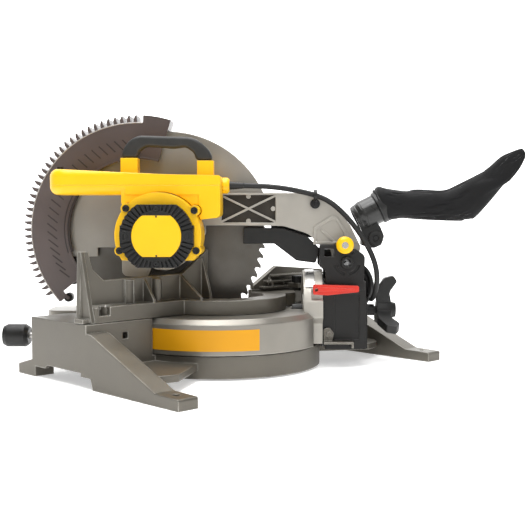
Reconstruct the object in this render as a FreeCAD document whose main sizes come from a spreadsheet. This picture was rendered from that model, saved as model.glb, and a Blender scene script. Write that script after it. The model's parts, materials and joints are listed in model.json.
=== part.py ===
"""Compound miter saw with a 305 mm blade, head locked down and table mitred 45 degrees right.

World frame: +X operator's right, +Y back, +Z up, origin on the bench under the miter axis, millimetres.
The head is described in a head frame (X across the blade towards the motor, Y back, Z up)
that is turned by the miter angle about the world's Z axis.
"""
import FreeCAD, Part

import math
import os
import re

from FreeCAD import Placement, Rotation, Vector

SIZES = {
    # Base and table
    "table_height": 86, "ring_radius": 157, "ring_wall": 6, "ring_top": 34, "ring_bottom": 2.5,
    "half_length": 269, "wing_inner": 140, "wing_front": 106, "wing_back": 34, "wing_bottom": 15,
    "wall": 6, "turntable_radius": 159, "turntable_bottom": 35.5, "turntable_gap": 2.5,
    "pivot_radius": 7.95, "pivot_bore": 8, "hub_radius": 24, "foot_width": 30.7, "foot_hole": 4.5,
    "foot_x": 253, "rear_hole_y": 205, "front_hole_y": 128,
    "skirt_inner": 163, "skirt_outer": 199, "skirt_top": 58, "scale_inner": 168, "scale_outer": 206,
    "scale_thick": 1.5, "nose_half": 35, "nose_tip": 264, "nose_bottom": 63,
    "slot_depth": 46, "kerf_thick": 3, "lock_height": 43, "lock_rod_radius": 5, "knob_radius": 18,
    # Fence
    "fence_thick": 8, "bar_bottom": 87, "bar_top": 108, "rib_thick": 4, "arc_radius": 104,
    # Head
    "miter_angle": 45, "blade_radius": 152.4, "blade_thick": 2.6, "tooth_count": 60,
    "arbor_y": -80, "arbor_z": 196, "motor_z": 203, "hinge_y": 196.7, "hinge_z": 160,
    "guard_y": -124, "guard_z": 209, "guard_outer": 164, "guard_inner": 109, "rib_tip": 176,
    "casting_radius": 165, "casting_wall": 4, "bevel_z": 84,
    "hinge_shaft_radius": 9, "running_gap": 0.05, "bush_radius": 12, "column_half": 38,
    "motor_radius": 62, "cap_radius": 52, "cap_half": 44.5, "badge_radius": 35, "badge_half": 29,
    "gear_module": 1, "pinion_teeth": 12, "lay_teeth": 36, "lay_pinion_teeth": 18, "spindle_teeth": 44,
    "cord_radius": 4, "coil_outer": 44.6, "coil_inner": 28.5, "coil_width": 27, "handle_round": 12,
}

doc = FreeCAD.newDocument("miter_saw")
sheet = doc.addObject("Spreadsheet::Sheet", "Dims")
for row, (alias, value) in enumerate(SIZES.items(), start=1):
    sheet.set("A%d" % row, alias)
    sheet.set("B%d" % row, str(value))
    sheet.setAlias("B%d" % row, alias)
doc.recompute()

WORLD = Placement()
HEAD = Placement(Vector(), Rotation(Vector(0, 0, 1), SIZES["miter_angle"]))
AXES = {"x": Rotation(Vector(0, 1, 0), 90), "y": Rotation(Vector(1, 0, 0), -90), "z": Rotation()}
PLANES = {"xy": "XY_Plane", "xz": "XZ_Plane", "yz": "YZ_Plane"}
nodes = []


def dim(alias):
    """The value of one cell of the sheet."""
    return float(sheet.get(alias))


def formula(text):
    """An expression with every alias in it pointed at the sheet."""
    return re.sub(r"[a-z][a-z_]+", lambda word: "Dims." + word.group(0) if word.group(0) in SIZES
                  else word.group(0), str(text))


def bind(thing, **properties):
    for name, text in properties.items():
        thing.setExpression(name, formula(text))
    return thing


def cylinder(radius, length, at, axis="z"):
    """A cylinder that starts at a point and runs along an axis."""
    solid = bind(doc.addObject("Part::Cylinder", "Cylinder"), Radius=radius, Height=length)
    solid.Placement = Placement(Vector(*at), AXES[axis])
    return solid


def cone(radius_a, radius_b, length, at, axis="z"):
    solid = bind(doc.addObject("Part::Cone", "Cone"), Radius1=radius_a, Radius2=radius_b, Height=length)
    solid.Placement = Placement(Vector(*at), AXES[axis])
    return solid


def block(size, corner, turn=None):
    """A box from its lowest corner; turn is an optional placement applied after that."""
    solid = bind(doc.addObject("Part::Box", "Block"), Length=size[0], Width=size[1], Height=size[2])
    solid.Placement = (turn or WORLD).multiply(Placement(Vector(*corner), Rotation()))
    return solid


def torus(ring, tube, at, axis="z"):
    solid = bind(doc.addObject("Part::Torus", "Torus"), Radius1=ring, Radius2=tube)
    solid.Placement = Placement(Vector(*at), AXES[axis])
    return solid


def corner_arc(before, point, after, radius):
    """Start, middle and end of the arc that rounds one corner of an outline."""
    towards = (before - point).normalize()
    away = (after - point).normalize()
    half = towards.getAngle(away) / 2
    reach = radius / math.tan(half)
    middle = (towards + away).normalize()
    centre = point + middle * (radius / math.sin(half))
    return point + towards * reach, centre - middle * radius, point + away * reach


def outline_geometry(outline):
    """Lines and arcs of a closed outline of (u, v) or (u, v, corner radius) points."""
    points = [Vector(p[0], p[1], 0) for p in outline]
    stations = []
    for i, p in enumerate(outline):
        radius = p[2] if len(p) > 2 else 0
        if radius:
            stations.append(corner_arc(points[i - 1], points[i], points[(i + 1) % len(points)], radius))
        else:
            stations.append((points[i], None, points[i]))
    pieces = []
    for i, (start, middle, end) in enumerate(stations):
        if middle is not None:
            pieces.append(Part.Arc(start, middle, end))
        following = stations[(i + 1) % len(stations)][0]
        if end.distanceToPoint(following) > 1e-6:
            pieces.append(Part.LineSegment(end, following))
    return pieces


def plate(outline, thickness, plane="xy", start=0, holes=()):
    """A body padded from an outline; start is where the pad begins along the plane's normal."""
    body = doc.addObject("PartDesign::Body", "Plate")
    sketch = body.newObject("Sketcher::SketchObject", "Outline")
    origin = [f for f in body.Origin.OriginFeatures if f.Role == PLANES[plane]][0]
    sketch.AttachmentSupport = [(origin, "")]
    sketch.MapMode = "FlatFace"
    sketch.addGeometry(outline_geometry(outline), False)
    for u, v, radius in holes:
        sketch.addGeometry(Part.Circle(Vector(u, v, 0), Vector(0, 0, 1), radius), False)
    pad = body.newObject("PartDesign::Pad", "Pad")
    pad.Profile = sketch
    pad.setExpression("Length", formula(thickness))
    pad.Reversed = plane == "xz"
    shift = {"xy": Vector(0, 0, start), "xz": Vector(0, start, 0), "yz": Vector(start, 0, 0)}
    body.Placement = Placement(shift[plane], Rotation())
    body.Tip = pad
    return body


def unite(*solids):
    joined = doc.addObject("Part::MultiFuse", "Joined")
    joined.Shapes = list(solids)
    return joined


def cut(base, *tools):
    result = doc.addObject("Part::Cut", "Cut")
    result.Base = base
    result.Tool = tools[0] if len(tools) == 1 else unite(*tools)
    return result


def common(first, second):
    result = doc.addObject("Part::Common", "Common")
    result.Base = first
    result.Tool = second
    return result


def group(solids):
    together = doc.addObject("Part::Compound", "Group")
    together.Links = list(solids)
    return together


def node(name, thing, frame=WORLD):
    """Names a finished sub-part and puts it in its frame."""
    thing.Label = name
    thing.Placement = frame.multiply(thing.Placement)
    nodes.append(thing)
    return thing


def turned(angle, centre=(0, 0, 0), axis=(0, 0, 1)):
    return Placement(Vector(), Rotation(Vector(*axis), angle), Vector(*centre))


def ring_points(radius, first, last, count, centre=(0, 0)):
    """Points on an arc, angles in degrees."""
    step = (last - first) / (count - 1)
    angles = [math.radians(first + step * i) for i in range(count)]
    return [(centre[0] + radius * math.cos(a), centre[1] + radius * math.sin(a)) for a in angles]


def sector(inner, outer, first, last, thickness, plane="xy", start=0, centre=(0, 0)):
    """Part of a ring, its two curved sides true arcs."""
    body = doc.addObject("PartDesign::Body", "Sector")
    sketch = body.newObject("Sketcher::SketchObject", "Outline")
    origin = [f for f in body.Origin.OriginFeatures if f.Role == PLANES[plane]][0]
    sketch.AttachmentSupport = [(origin, "")]
    sketch.MapMode = "FlatFace"
    outside = [Vector(u, v, 0) for u, v in ring_points(outer, first, last, 3, centre)]
    inside = [Vector(u, v, 0) for u, v in ring_points(inner, first, last, 3, centre)]
    sketch.addGeometry([Part.Arc(*outside), Part.LineSegment(outside[2], inside[2]),
                        Part.Arc(inside[2], inside[1], inside[0]),
                        Part.LineSegment(inside[0], outside[0])], False)
    pad = body.newObject("PartDesign::Pad", "Pad")
    pad.Profile = sketch
    pad.setExpression("Length", formula(thickness))
    pad.Reversed = plane == "xz"
    shift = {"xy": Vector(0, 0, start), "xz": Vector(0, start, 0), "yz": Vector(start, 0, 0)}
    body.Placement = Placement(shift[plane], Rotation())
    body.Tip = pad
    return body


def hex_screw(radius, length, head, head_height, at, axis="z"):
    """Shank from a point along an axis, with a round socket head beyond its end."""
    step = {"x": Vector(1, 0, 0), "y": Vector(0, 1, 0), "z": Vector(0, 0, 1)}[axis]
    top = Vector(*at) + step * length
    shank = cylinder(radius, length, at, axis)
    cap = cylinder(head, head_height, tuple(top), axis)
    socket = cylinder(head * 0.5, head_height * 0.6, tuple(top + step * head_height * 0.4), axis)
    return cut(unite(shank, cap), socket)


# ---------------------------------------------------------------- base

def base_casting():
    ring_height = "ring_top - ring_bottom"
    low = dim("ring_bottom")
    ring = cut(cylinder("ring_radius", ring_height, (0, 0, low)),
               cylinder("ring_radius - ring_wall", ring_height, (0, 0, low)))
    deck = cut(cylinder("ring_radius", "wall", (0, 0, dim("ring_top") - dim("wall"))),
               cylinder(118, "wall", (0, 0, dim("ring_top") - dim("wall"))))
    hub = cylinder("hub_radius", "ring_top", (0, 0, 0))
    spokes = [block((dim("ring_radius") - 3, "wall", 20), (0, -3, 14), turned(30 * i + 15))
              for i in range(12)]
    solids = [ring, deck, hub] + spokes
    solids.append(cut(sector(dim("skirt_inner"), dim("skirt_outer"), -179, -1, "skirt_top - 15", start=15),
                      sector(dim("skirt_inner") + 5, dim("skirt_outer") - 6, -176, -4, 36, start=15)))
    solids.append(sector(dim("ring_radius") - 4, dim("skirt_outer"), -179, -1, "wall", start=15))
    for side in (-1, 1):
        solids += wing(side)
    body = unite(*solids)
    holes = [cylinder("pivot_bore", 60, (0, 0, 5)),
             cylinder("turntable_radius + turntable_gap", 80, (0, 0, dim("ring_top")))]
    for side in (-1, 1):
        for y in (dim("rear_hole_y"), -dim("front_hole_y")):
            holes.append(cylinder("foot_hole", 60, (side * dim("foot_x"), y, -1)))
            holes.append(cylinder(9, 40, (side * dim("foot_x"), y, 15 if y > 0 else 18)))
        holes.append(block((9, 20, 9), (side * 205 - 4.5, 20, 62)))
        for x in (185, 225):
            holes.append(cylinder(3.3, 30, (side * x, 18, 70)))
    return cut(body, *holes)


def wing(side):
    """One side table, hollow below, with its front foot, rear leg and the ledge beside the ring."""
    far = dim("half_length")
    near = dim("wing_inner")
    front = -dim("wing_front")
    back = dim("wing_back")
    table = dim("table_height")
    wall = dim("wall")
    low = dim("wing_bottom")
    left = near if side > 0 else -far
    outer = block((far - near, back - front, table - low), (left, front, low))
    hollow = block((far - near - 2 * wall, back - front - 2 * wall, table - low - wall),
                   (left + wall, front + wall, low))
    arch = plate([(-71, 0), (-71, 20, 8), (46, 20, 8), (52, 0)], "wall + 2", "yz",
                 far - wall - 1 if side > 0 else -far - 1)
    nose_room = block((200, 104, 40), (140, -52, 60), turned(-90 + side * 50))
    shell = cut(outer, hollow, arch, nose_room)
    foot_left = far - dim("foot_width") if side > 0 else -far
    leg = plate([(20, 15), (34, 75, 4), (45, 74, 6), (183, 15.6, 8), (228.4, 14.5, 3), (228.4, 0),
                 (48.6, 0), (44, 15, 3)], "foot_width", "yz", foot_left)
    scoop = plate([(52, 10), (52, 60), (172, 10)], 18, "yz",
                  far - 25 if side > 0 else -far + 7)
    foot = plate([(-144, 0), (-144, 14, 3), (-104, 25, 3), (-98, 25), (-98, 0)], "foot_width", "yz", foot_left)
    ledge_outline = [(far - 12, 20), (far - 12, 100), (far - 45, 135), (far - 72, 141, 4),
                     (near - 18, 92, 4), (near - 22, 60), (near - 5, 20)]
    ledge = plate([(side * x, *rest) for x, *rest in ledge_outline], 10, "xy", low)
    return [shell, cut(leg, scoop), foot, ledge]


def miter_scale_plate():
    strip = sector(dim("scale_inner"), dim("scale_outer"), -142, -38, "scale_thick", start=dim("skirt_top"))
    stops = (-50, -45, -31.6, -22.5, -15, 0, 15, 22.5, 31.6, 45, 50)
    notches = [block((12, 7, 4), (dim("scale_outer") - 6, -3.5, dim("skirt_top") - 1), turned(-90 + stop))
               for stop in stops]
    return cut(strip, *notches)


def table_pivot_bolt():
    head = cylinder(13, 6, (0, 0, 41.2))
    return cut(unite(cylinder("pivot_radius", 36, (0, 0, 5.5)), head), cylinder(6, 4, (0, 0, 44)))


def fence_casting():
    """Right upright, low left rail and the rear arc that joins them behind the table's centre."""
    thick = dim("fence_thick")
    foot = dim("bar_bottom")
    top = dim("bar_top")
    upright = plate([(34, foot), (30.5, 179.4), (80, 145, 3), (221, 142, 3), (240, 158, 3),
                     (247, 183, 3), (259, 183, 3), (262, foot)], "fence_thick", "xz", 0)
    outer_post = plate([(0, foot), (0, 183), (8, 183), (32, foot)], 6, "yz", 253)
    ribs = [plate([(6, foot), (6, high), (10, high), (reach, 112), (reach, foot)], "rib_thick", "yz", x)
            for x, high, reach in ((40, 166, 28), (82, 143, 56), (150, 140, 32))]
    posts = [cylinder(7, 141 - foot, (x, 12, foot)) for x in (132, 181)]
    deep = top - foot
    bar_right = plate([(62, 8), (253, 8), (253, 33, 4), (62, 33)], deep, "xy", foot)
    room_right = plate([(68, 14), (247, 14), (247, 27), (68, 27)], deep - 5, "xy", foot)
    bar_left = plate([(-212, 8), (-212, 29, 4), (-138, 29, 4), (-112, 58, 4), (-62, 58), (-62, 8)],
                     deep, "xy", foot)
    room_left = plate([(-206, 14), (-206, 23.5), (-135, 23.5), (-109, 52), (-68, 52), (-68, 14)],
                      deep - 5, "xy", foot)
    rail = block((200, thick, 25), (-262, 0, foot))
    ring = cut(sector(dim("arc_radius") - 34, dim("arc_radius"), 8, 172, top - foot, start=foot),
               sector(dim("arc_radius") - 28, dim("arc_radius") - 6, 5, 175, top - foot - 5, start=foot))
    step = block((18, 17, 12), (229, 16, top - 12))
    body = cut(unite(bar_right, bar_left, ring), room_right, room_left, step)
    seats = [cylinder(8, top - foot, (side * x, 18, foot)) for side in (-1, 1) for x in (185, 225)]
    wings = [block((60, 20, 6), (side * 205 + (5 if side > 0 else -65), 8, foot)) for side in (-1, 1)]
    joined = unite(body, upright, outer_post, rail, *(ribs + posts + seats + wings))
    bores = [cylinder(3.3, 60, (side * x, 18, foot - 5)) for side in (-1, 1) for x in (185, 225)]
    sinks = [cylinder(6.5, 80, (side * x, 18, top - 6)) for side in (-1, 1) for x in (185, 225)]
    gap = block((2 * 33, 200, 60), (-33, -20, foot - 1))
    rear_gap = block((2 * 40, 56, 60), (-40, 9, foot - 1))
    arc_keep = block((2 * 40, 60, 60), (-40, 66, foot - 1))
    return cut(joined, cut(unite(gap, rear_gap), arc_keep), *(bores + sinks))


def fence_bolts():
    top = dim("bar_top")
    return group([hex_screw(3.2, top - 6 - 74, 6, 5.5, (side * x, 18, 74))
                  for side in (-1, 1) for x in (185, 225)])


def left_sliding_fence():
    """Upper left fence, riding on the low rail, with flat ribs behind it."""
    low = dim("bar_bottom") + 25.4
    face = plate([(-233, low), (-233, 138, 3), (-119, 148, 3), (-66, 118, 3), (-66, low)],
                 "fence_thick", "xz", 0)
    shelves = [block((w, 10, 3), (-225, 7, z)) for w, z in ((145, 113), (136, 122), (122, 131))]
    ends = [plate([(7, low), (7, 132), (17, 122), (17, low)], 4, "yz", x) for x in (-232, -178, -104)]
    boss = block((26, 34, 8), (-163, 7, low))
    return cut(unite(face, boss, *(shelves + ends)), cylinder(3.05, 30, (-150, 33, low - 5)))


def fence_clamp_knob():
    low = dim("bar_bottom") + 25.4 + 8.3
    core = cylinder(11, 11, (-150, 33, low))
    lobes = [cylinder(4.5, 11, (-150 + 10 * math.cos(math.radians(60 * i)),
                                33 + 10 * math.sin(math.radians(60 * i)), low)) for i in range(6)]
    return unite(core, cylinder(3, 15, (-150, 33, low - 14)), *lobes)


# ---------------------------------------------------------------- turntable

def turntable():
    low = dim("turntable_bottom")
    top = dim("table_height")
    radius = dim("turntable_radius")
    disc = cut(cylinder("turntable_radius", top - low, (0, 0, low)),
               cylinder("turntable_radius - 6", top - low - 8, (0, 0, low)))
    bevelled = common(disc, cone(radius + 43.5, radius - 7.5, top - low, (0, 0, low)))
    hub = cylinder("hub_radius", top - low, (0, 0, low))
    spokes = [block((radius - 4, 5, 42), (0, -2.5, low + 4), turned(45 * i + 22.5)) for i in range(8)]
    half = dim("nose_half")
    tip = dim("nose_tip")
    nose = plate([(-half - 8, -150), (-half, -205, 20), (-half, -tip + 8, 10), (-22, -tip, 8), (22, -tip, 8),
                  (half, -tip + 8, 10), (half, -205, 20), (half + 8, -150)],
                 top - dim("nose_bottom"), "xy", dim("nose_bottom"))
    under = plate([(-half + 5, -168), (-half + 5, -tip + 14), (half - 5, -tip + 14), (half - 5, -168)],
                  top - dim("nose_bottom") - 8, "xy", dim("nose_bottom"))
    lug = plate([(-16, 66), (-16, 40, 8), (0, 28, 8), (16, 40, 8), (16, 66)], 22, "xz", -tip + 2)
    back_pad = block((150, 16, 36), (-75, 114, low))
    quad_seat = block((100, 16, top - low), (-50, 114, low))
    trench = block((54, 250, 44), (-10, -208, low + 5))
    recess = block((40, 252, dim("kerf_thick") + 0.2), (-20, -206, top - dim("kerf_thick") - 0.2))
    walls = block((64, 260, 44), (-15, -213, low + 5))
    body = unite(bevelled, hub, nose, lug, back_pad, quad_seat, walls, *spokes)
    scale_room = cut(cylinder(220, 27.5, (0, 0, low)), cylinder("turntable_radius", 30, (0, 0, low)))
    rear_flat = block((132, 40, 60), (-66, 130, low - 1))
    latch_room = block((26, 26, 14), (-13, -264, 49.2))
    pivot = [cylinder("pivot_bore", 60, (0, 0, low - 1)), cylinder(15, 50, (0, 0, 40.7)),
             cylinder("lock_rod_radius + running_gap", 40, (0, -tip - 2, dim("lock_height")), "y")]
    shaft = cylinder("hinge_shaft_radius", 20, (0, 112, dim("bevel_z")), "y")
    screws = [cylinder(2.5, 10, (x, y, top - 12)) for x in (-16, 16) for y in (-195, -80, 35)]
    return cut(body, trench, recess, cut(under, block((64, 100, 60), (-15, -213, low))), scale_room, rear_flat,
               latch_room, shaft, *(pivot + screws))


def kerf_plate():
    """Two-sided red insert that backs the cut; the slot is wider to the right for bevel cuts."""
    base = dim("table_height") - dim("kerf_thick")
    sheet_plate = block((39.6, 251.6, "kerf_thick"), (-19.8, -205.8, base))
    slot = block((15, 240, "kerf_thick + 2"), (-6, -203, base - 1))
    bores = [cylinder(2.6, 10, (x, y, base - 2)) for x in (-16, 16) for y in (-195, -80, 35)]
    return cut(sheet_plate, slot, *bores)


def kerf_screws():
    base = dim("table_height")
    return group([cut(cylinder(2.4, 11, (x, y, base - 11.5)), cylinder(1.2, 3, (x, y, base - 2.5)))
                  for x in (-16, 16) for y in (-195, -80, 35)])


def miter_lock_rod():
    z = dim("lock_height")
    return unite(cylinder("lock_rod_radius", 112, (0, -316, z), "y"), cone(5, 8, 4, (0, -204, z), "y"))


def miter_lock_knob():
    z = dim("lock_height")
    barrel = unite(cone(15, 18, 6, (0, -339, z), "y"), cylinder("knob_radius", 28, (0, -333, z), "y"),
                   cone(18, 14, 6, (0, -305, z), "y"))
    flutes = [cylinder(3, 60, (21 * math.cos(math.radians(45 * i)), -345, z + 21 * math.sin(math.radians(45 * i))),
                       "y") for i in range(8)]
    return cut(barrel, cylinder("lock_rod_radius + running_gap", 20, (0, -316, z), "y"), *flutes)


def miter_latch():
    """Squeeze lever below the nose; its rear tooth lifts into a notch of the scale plate."""
    z = 51.5
    lever = plate([(-6, -201), (-6, -272), (-24, -276, 3), (-24, -292, 4), (24, -292, 4), (24, -276, 3),
                   (6, -272), (6, -201)], 4, "xy", z)
    tooth = block((5.6, 4, 6.1), (-2.8, -205, z))
    pin = cylinder(2, 22, (-11, -245, z + 2), "x")
    ears = [block((4, 10, 7), (side * 8 - 2, -250, z - 1)) for side in (-1, 1)]
    return unite(lever, tooth, pin, *ears)


def label_band():
    radius = dim("turntable_radius")
    return sector(radius, radius + 0.5, -44, 24, 30, start=42)


def bevel_quadrant():
    """Light upright at the back of the table that carries the bevel pivot."""
    z = dim("bevel_z")
    outline = ring_points(62, 180, 0, 13, (0, z))
    outline += [(62, 78), (48, 68, 6), (48, 37), (-48, 37), (-48, 68, 6), (-62, 78)]
    body = plate(outline, 29, "xz", 130.2)
    lever_room = block((13, 18, 32), (49.5, 142, 104))
    ring = cut(cylinder(55, 9, (0, 129, z), "y"), cylinder(24, 9, (0, 129, z), "y"))
    keep = block((200, 60, 60), (-100, 120, z - 60))
    return cut(body, cut(ring, keep), lever_room, cylinder("hinge_shaft_radius", 40, (0, 120, z), "y"),
               *[cylinder(3.2, 40, (x, 120, 50), "y") for x in (-34, 34)])


def bevel_scale():
    z = dim("bevel_z")
    return sector(62.2, 63.2, 39, 155, 14, "xz", 133, (0, z))


def bevel_pivot_bolt():
    z = dim("bevel_z")
    return unite(cylinder("hinge_shaft_radius - running_gap", 128, (0, 114, z), "y"),
                 cylinder("6 - running_gap", 14, (0, 242, z), "y"))


def bevel_stop_lever():
    """Red lever that sets the vertical stop, on its pin at the quadrant's right side."""
    lever = plate([(144, 128, 2), (144, 113, 2), (166, 112), (213, 117, 2), (213, 126, 2), (165, 127)],
                  9, "yz", 50.5)
    rib = plate([(150, 124), (150, 118), (206, 119), (206, 122)], 1.5, "yz", 59.5)
    return cut(unite(lever, rib), cylinder(2.55, 30, (44, 149, 120), "x"))


def rear_bracket():
    """Plated bracket and strip at the foot of the column's right side."""
    ear = plate([(161.2, 40), (161.2, 59, 3), (170, 61, 4), (177, 52, 4), (174, 40)], 3, "yz", 38.5)
    strip = block((18, 44.8, 3), (36.1, 161.2, 37))
    lip = block((18, 3, 9), (36.1, 203, 31))
    stud = cylinder(4.5, 6, (37.5, 169, 50), "x")
    return unite(ear, strip, lip, stud)


# ---------------------------------------------------------------- bevel column

# Middle of the tied coil that hangs on the column's left side
COIL_CENTRE = (-54, 205.2, 116)


def bevel_column():
    half = dim("column_half")
    flange = cylinder(57, 8, (0, 159.4, dim("bevel_z")), "y")
    body = plate([(-half + 2, 44), (-18, 27), (half - 2, 27), (half - 2, 130), (-half + 2, 130)], 62, "xz", 164)
    taper = plate([(218, 27), (229, 27), (229, 96, 4), (221, 134)], 60, "yz", -30)
    pin_boss = cylinder(10, half - 24, (24, 192.2, 187.1), "x")
    ears = []
    for start, top in ((-half, 178), (24, 187)):
        ears.append(plate([(164, 120), (164, 147), (155, 154, 2), (155, top, 2), (184, top, 3), (190, 176, 3),
                           (208, 182, 10), (224, 171, 10), (222, 120)], half - 24, "yz", start))
    bridge = block((2 * half, 60, 14), (-half, 164, 118))
    window = block((60, 15, 12), (10, 162, 169))
    hinge = (dim("hinge_y"), dim("hinge_z"))
    slots = [sector(15, 20, first, first + 70, 4, "yz", half - 2.5, hinge) for first in (55, 190, 280)]
    hollow = block((2 * half - 18, 42, 60), (-half + 9, 173, 22))
    panel = [block((4, 38, 70), (side * (half - 2) - 2, 178, 42)) for side in (-1, 1)]
    flat = block((160, 12, 40), (-80, 158, 127))
    sides = [block((40, 12, 120), (side * (half + 18) - 20, 158, 24)) for side in (-1, 1)]
    solid = unite(cut(flange, flat, *sides), body, taper, pin_boss, bridge, *ears)
    x, y, z = COIL_CENTRE
    hook = [block((35, 10, 6), (x - 17, y - 5, z + 20)), block((3, 10, 12), (x - 17.5, y - 5, z + 20))]
    hooked = unite(cut(solid, window, hollow, *(slots + panel)), *hook)
    return cut(hooked,
               cylinder("hinge_shaft_radius", 100, (-50, dim("hinge_y"), dim("hinge_z")), "x"),
               cylinder(5.05, 100, (20, 192.2, 187.1), "x"),
               cylinder("hinge_shaft_radius", 110, (0, 150, dim("bevel_z")), "y"))


def hinge_shaft():
    at = (-39, dim("hinge_y"), dim("hinge_z"))
    return cut(cylinder("hinge_shaft_radius", 82, at, "x"), cylinder(5.5, 82, at, "x"))


def hinge_bushes():
    y = dim("hinge_y")
    z = dim("hinge_z")
    return group([cut(cylinder("bush_radius", 8, (x, y, z), "x"),
                      cylinder("hinge_shaft_radius + running_gap", 8, (x, y, z), "x")) for x in (-18, 12)])


def head_spring():
    """Torsion spring round the hinge shaft: close coils tied by their two straight legs."""
    y = dim("hinge_y")
    z = dim("hinge_z")
    coils = [torus(15.5, 1.6, (x, y, z), "x") for x in (-8, -4.4, -0.8, 2.8, 6.4)]
    tie = cylinder(1.2, 14.4, (-8, y, z - 15.5), "x")
    return unite(tie, *coils)


def lock_pin():
    return cylinder(5, 38, (19, 192.2, 187.1), "x")


def lock_pin_knob():
    at = (45, 192.2, 187.1)
    return cut(unite(cylinder(13, 9, at, "x"), cone(13, 9, 3, (54, 192.2, 187.1), "x")),
               cylinder("5 + running_gap", 20, at, "x"))


def bevel_clamp_knob():
    """Three-lobed hand knob on the end of the bevel bolt."""
    z = dim("bevel_z")
    hub = unite(cylinder(15, 16, (0, 245.5, z), "y"), cone(15, 11, 14, (0, 261.5, z), "y"))
    lobes = []
    for angle in (90, 210, 330):
        arm = plate([(245.5, 6), (245.5, 30), (257.5, 50, 5), (271.5, 54, 4), (277.5, 45, 4), (265.5, 28, 10),
                     (269.5, 6)], 14, "yz", -7)
        arm.Placement = Placement(Vector(0, 0, z), Rotation(Vector(0, 1, 0), angle - 90)).multiply(arm.Placement)
        lobes.append(arm)
    return cut(unite(hub, *lobes), cylinder(6, 20, (0, 237, z), "y"))


# ---------------------------------------------------------------- head

def arm_casting():
    y = dim("hinge_y")
    z = dim("hinge_z")
    outline = [(-70, 266), (60, 267), (144, 266, 25), (166, 257, 15), (184, 240, 15), (203, 216, 12),
               (219, 184, 6), (213, 150),
               (196, 139, 12), (180, 148, 8), (175, 178), (160, 183), (140, 203, 40), (100, 215.6, 40),
               (-22.9, 217), (-70, 217)]
    web = plate(outline, 38, "yz", -18)
    recess = block((8, 84, 43), (14.6, 4, 220.5))
    ribs = [plate([(4, 220), (4, 223.5), (88, 264), (88, 260.5)], 5.5, "yz", 14),
            plate([(4, 264), (4, 260.5), (88, 220), (88, 223.5)], 5.5, "yz", 14)]
    bosses = [cylinder(3.6, 5.5, (14, by, bz), "x") for by, bz in ((46, 261), (46, 223), (84, 242))]
    drum_room = block((30.2, 172, 80), (-18, -80, 190))
    pocket = block((26, 56, 24), (-19, 100, 222))
    quad = [(146, 187), (146, 214, 4), (173, 231, 5), (183, 229, 4), (199, 203, 3), (199, 187)]
    inner = [(150, 191), (150, 211, 3), (174, 226, 4), (181, 225, 3), (194, 202, 3), (194, 191)]
    rim = cut(plate(quad, 3, "yz", 19.5), plate(inner, 4, "yz", 19.2))
    strut = plate([(160, 211), (157, 208), (178, 189), (183, 189)], 2.6, "yz", 19.5)
    solid = cut(web, recess, drum_room, pocket)
    bore = cylinder("bush_radius", 60, (-30, y, z), "x")
    chamber = cylinder(18.5, 19, (-10, y, z), "x")
    pin_hole = cylinder(5.2, 30, (8, 192.2, 187.1), "x")
    clear = [block((10, 60, 60), (x, 165, 130)) for x in (18.2, -28)]
    pin_sweep = cylinder(33.5, 10, (18.6, y, z), "x")
    trimmed = cut(unite(solid, *ribs, *bosses), *clear)
    front = block((70, 60, 70), (-30, -90, 205))
    return cut(unite(trimmed, rim, strut), bore, chamber, pin_hole, pin_sweep,
               cut(front, block((100, 5, 100), (-50, -34.9, 190))))


def upper_guard():
    """Half-drum casting over the blade, open below."""
    y = dim("arbor_y")
    z = dim("arbor_z")
    drum = cylinder("casting_radius", 36, (-24, y, z), "x")
    hollow = cylinder("casting_radius - casting_wall - 2", 28, (-20, y, z), "x")
    below_front = plate([(-260, 0), (-260, 168), (-188, 168), (-188, 182, 1), (-155, 182, 1), (-155, 168),
                         (-128, 160), (-40, 160), (-20, 205, 8), (-20, 216), (120, 216), (120, 0)], 60, "yz", -30)
    spindle_hole = cylinder(20, 20, (5, y, z), "x")
    access = cylinder(25, 20, (-40, y, z), "x")
    boss = cylinder(30, 8, (-30.5, y, z), "x")
    flange = cylinder(46, 4, (8, y, z), "x")
    shell = unite(cut(drum, hollow, below_front), boss, flange)
    return cut(shell, spindle_hole, access)


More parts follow.
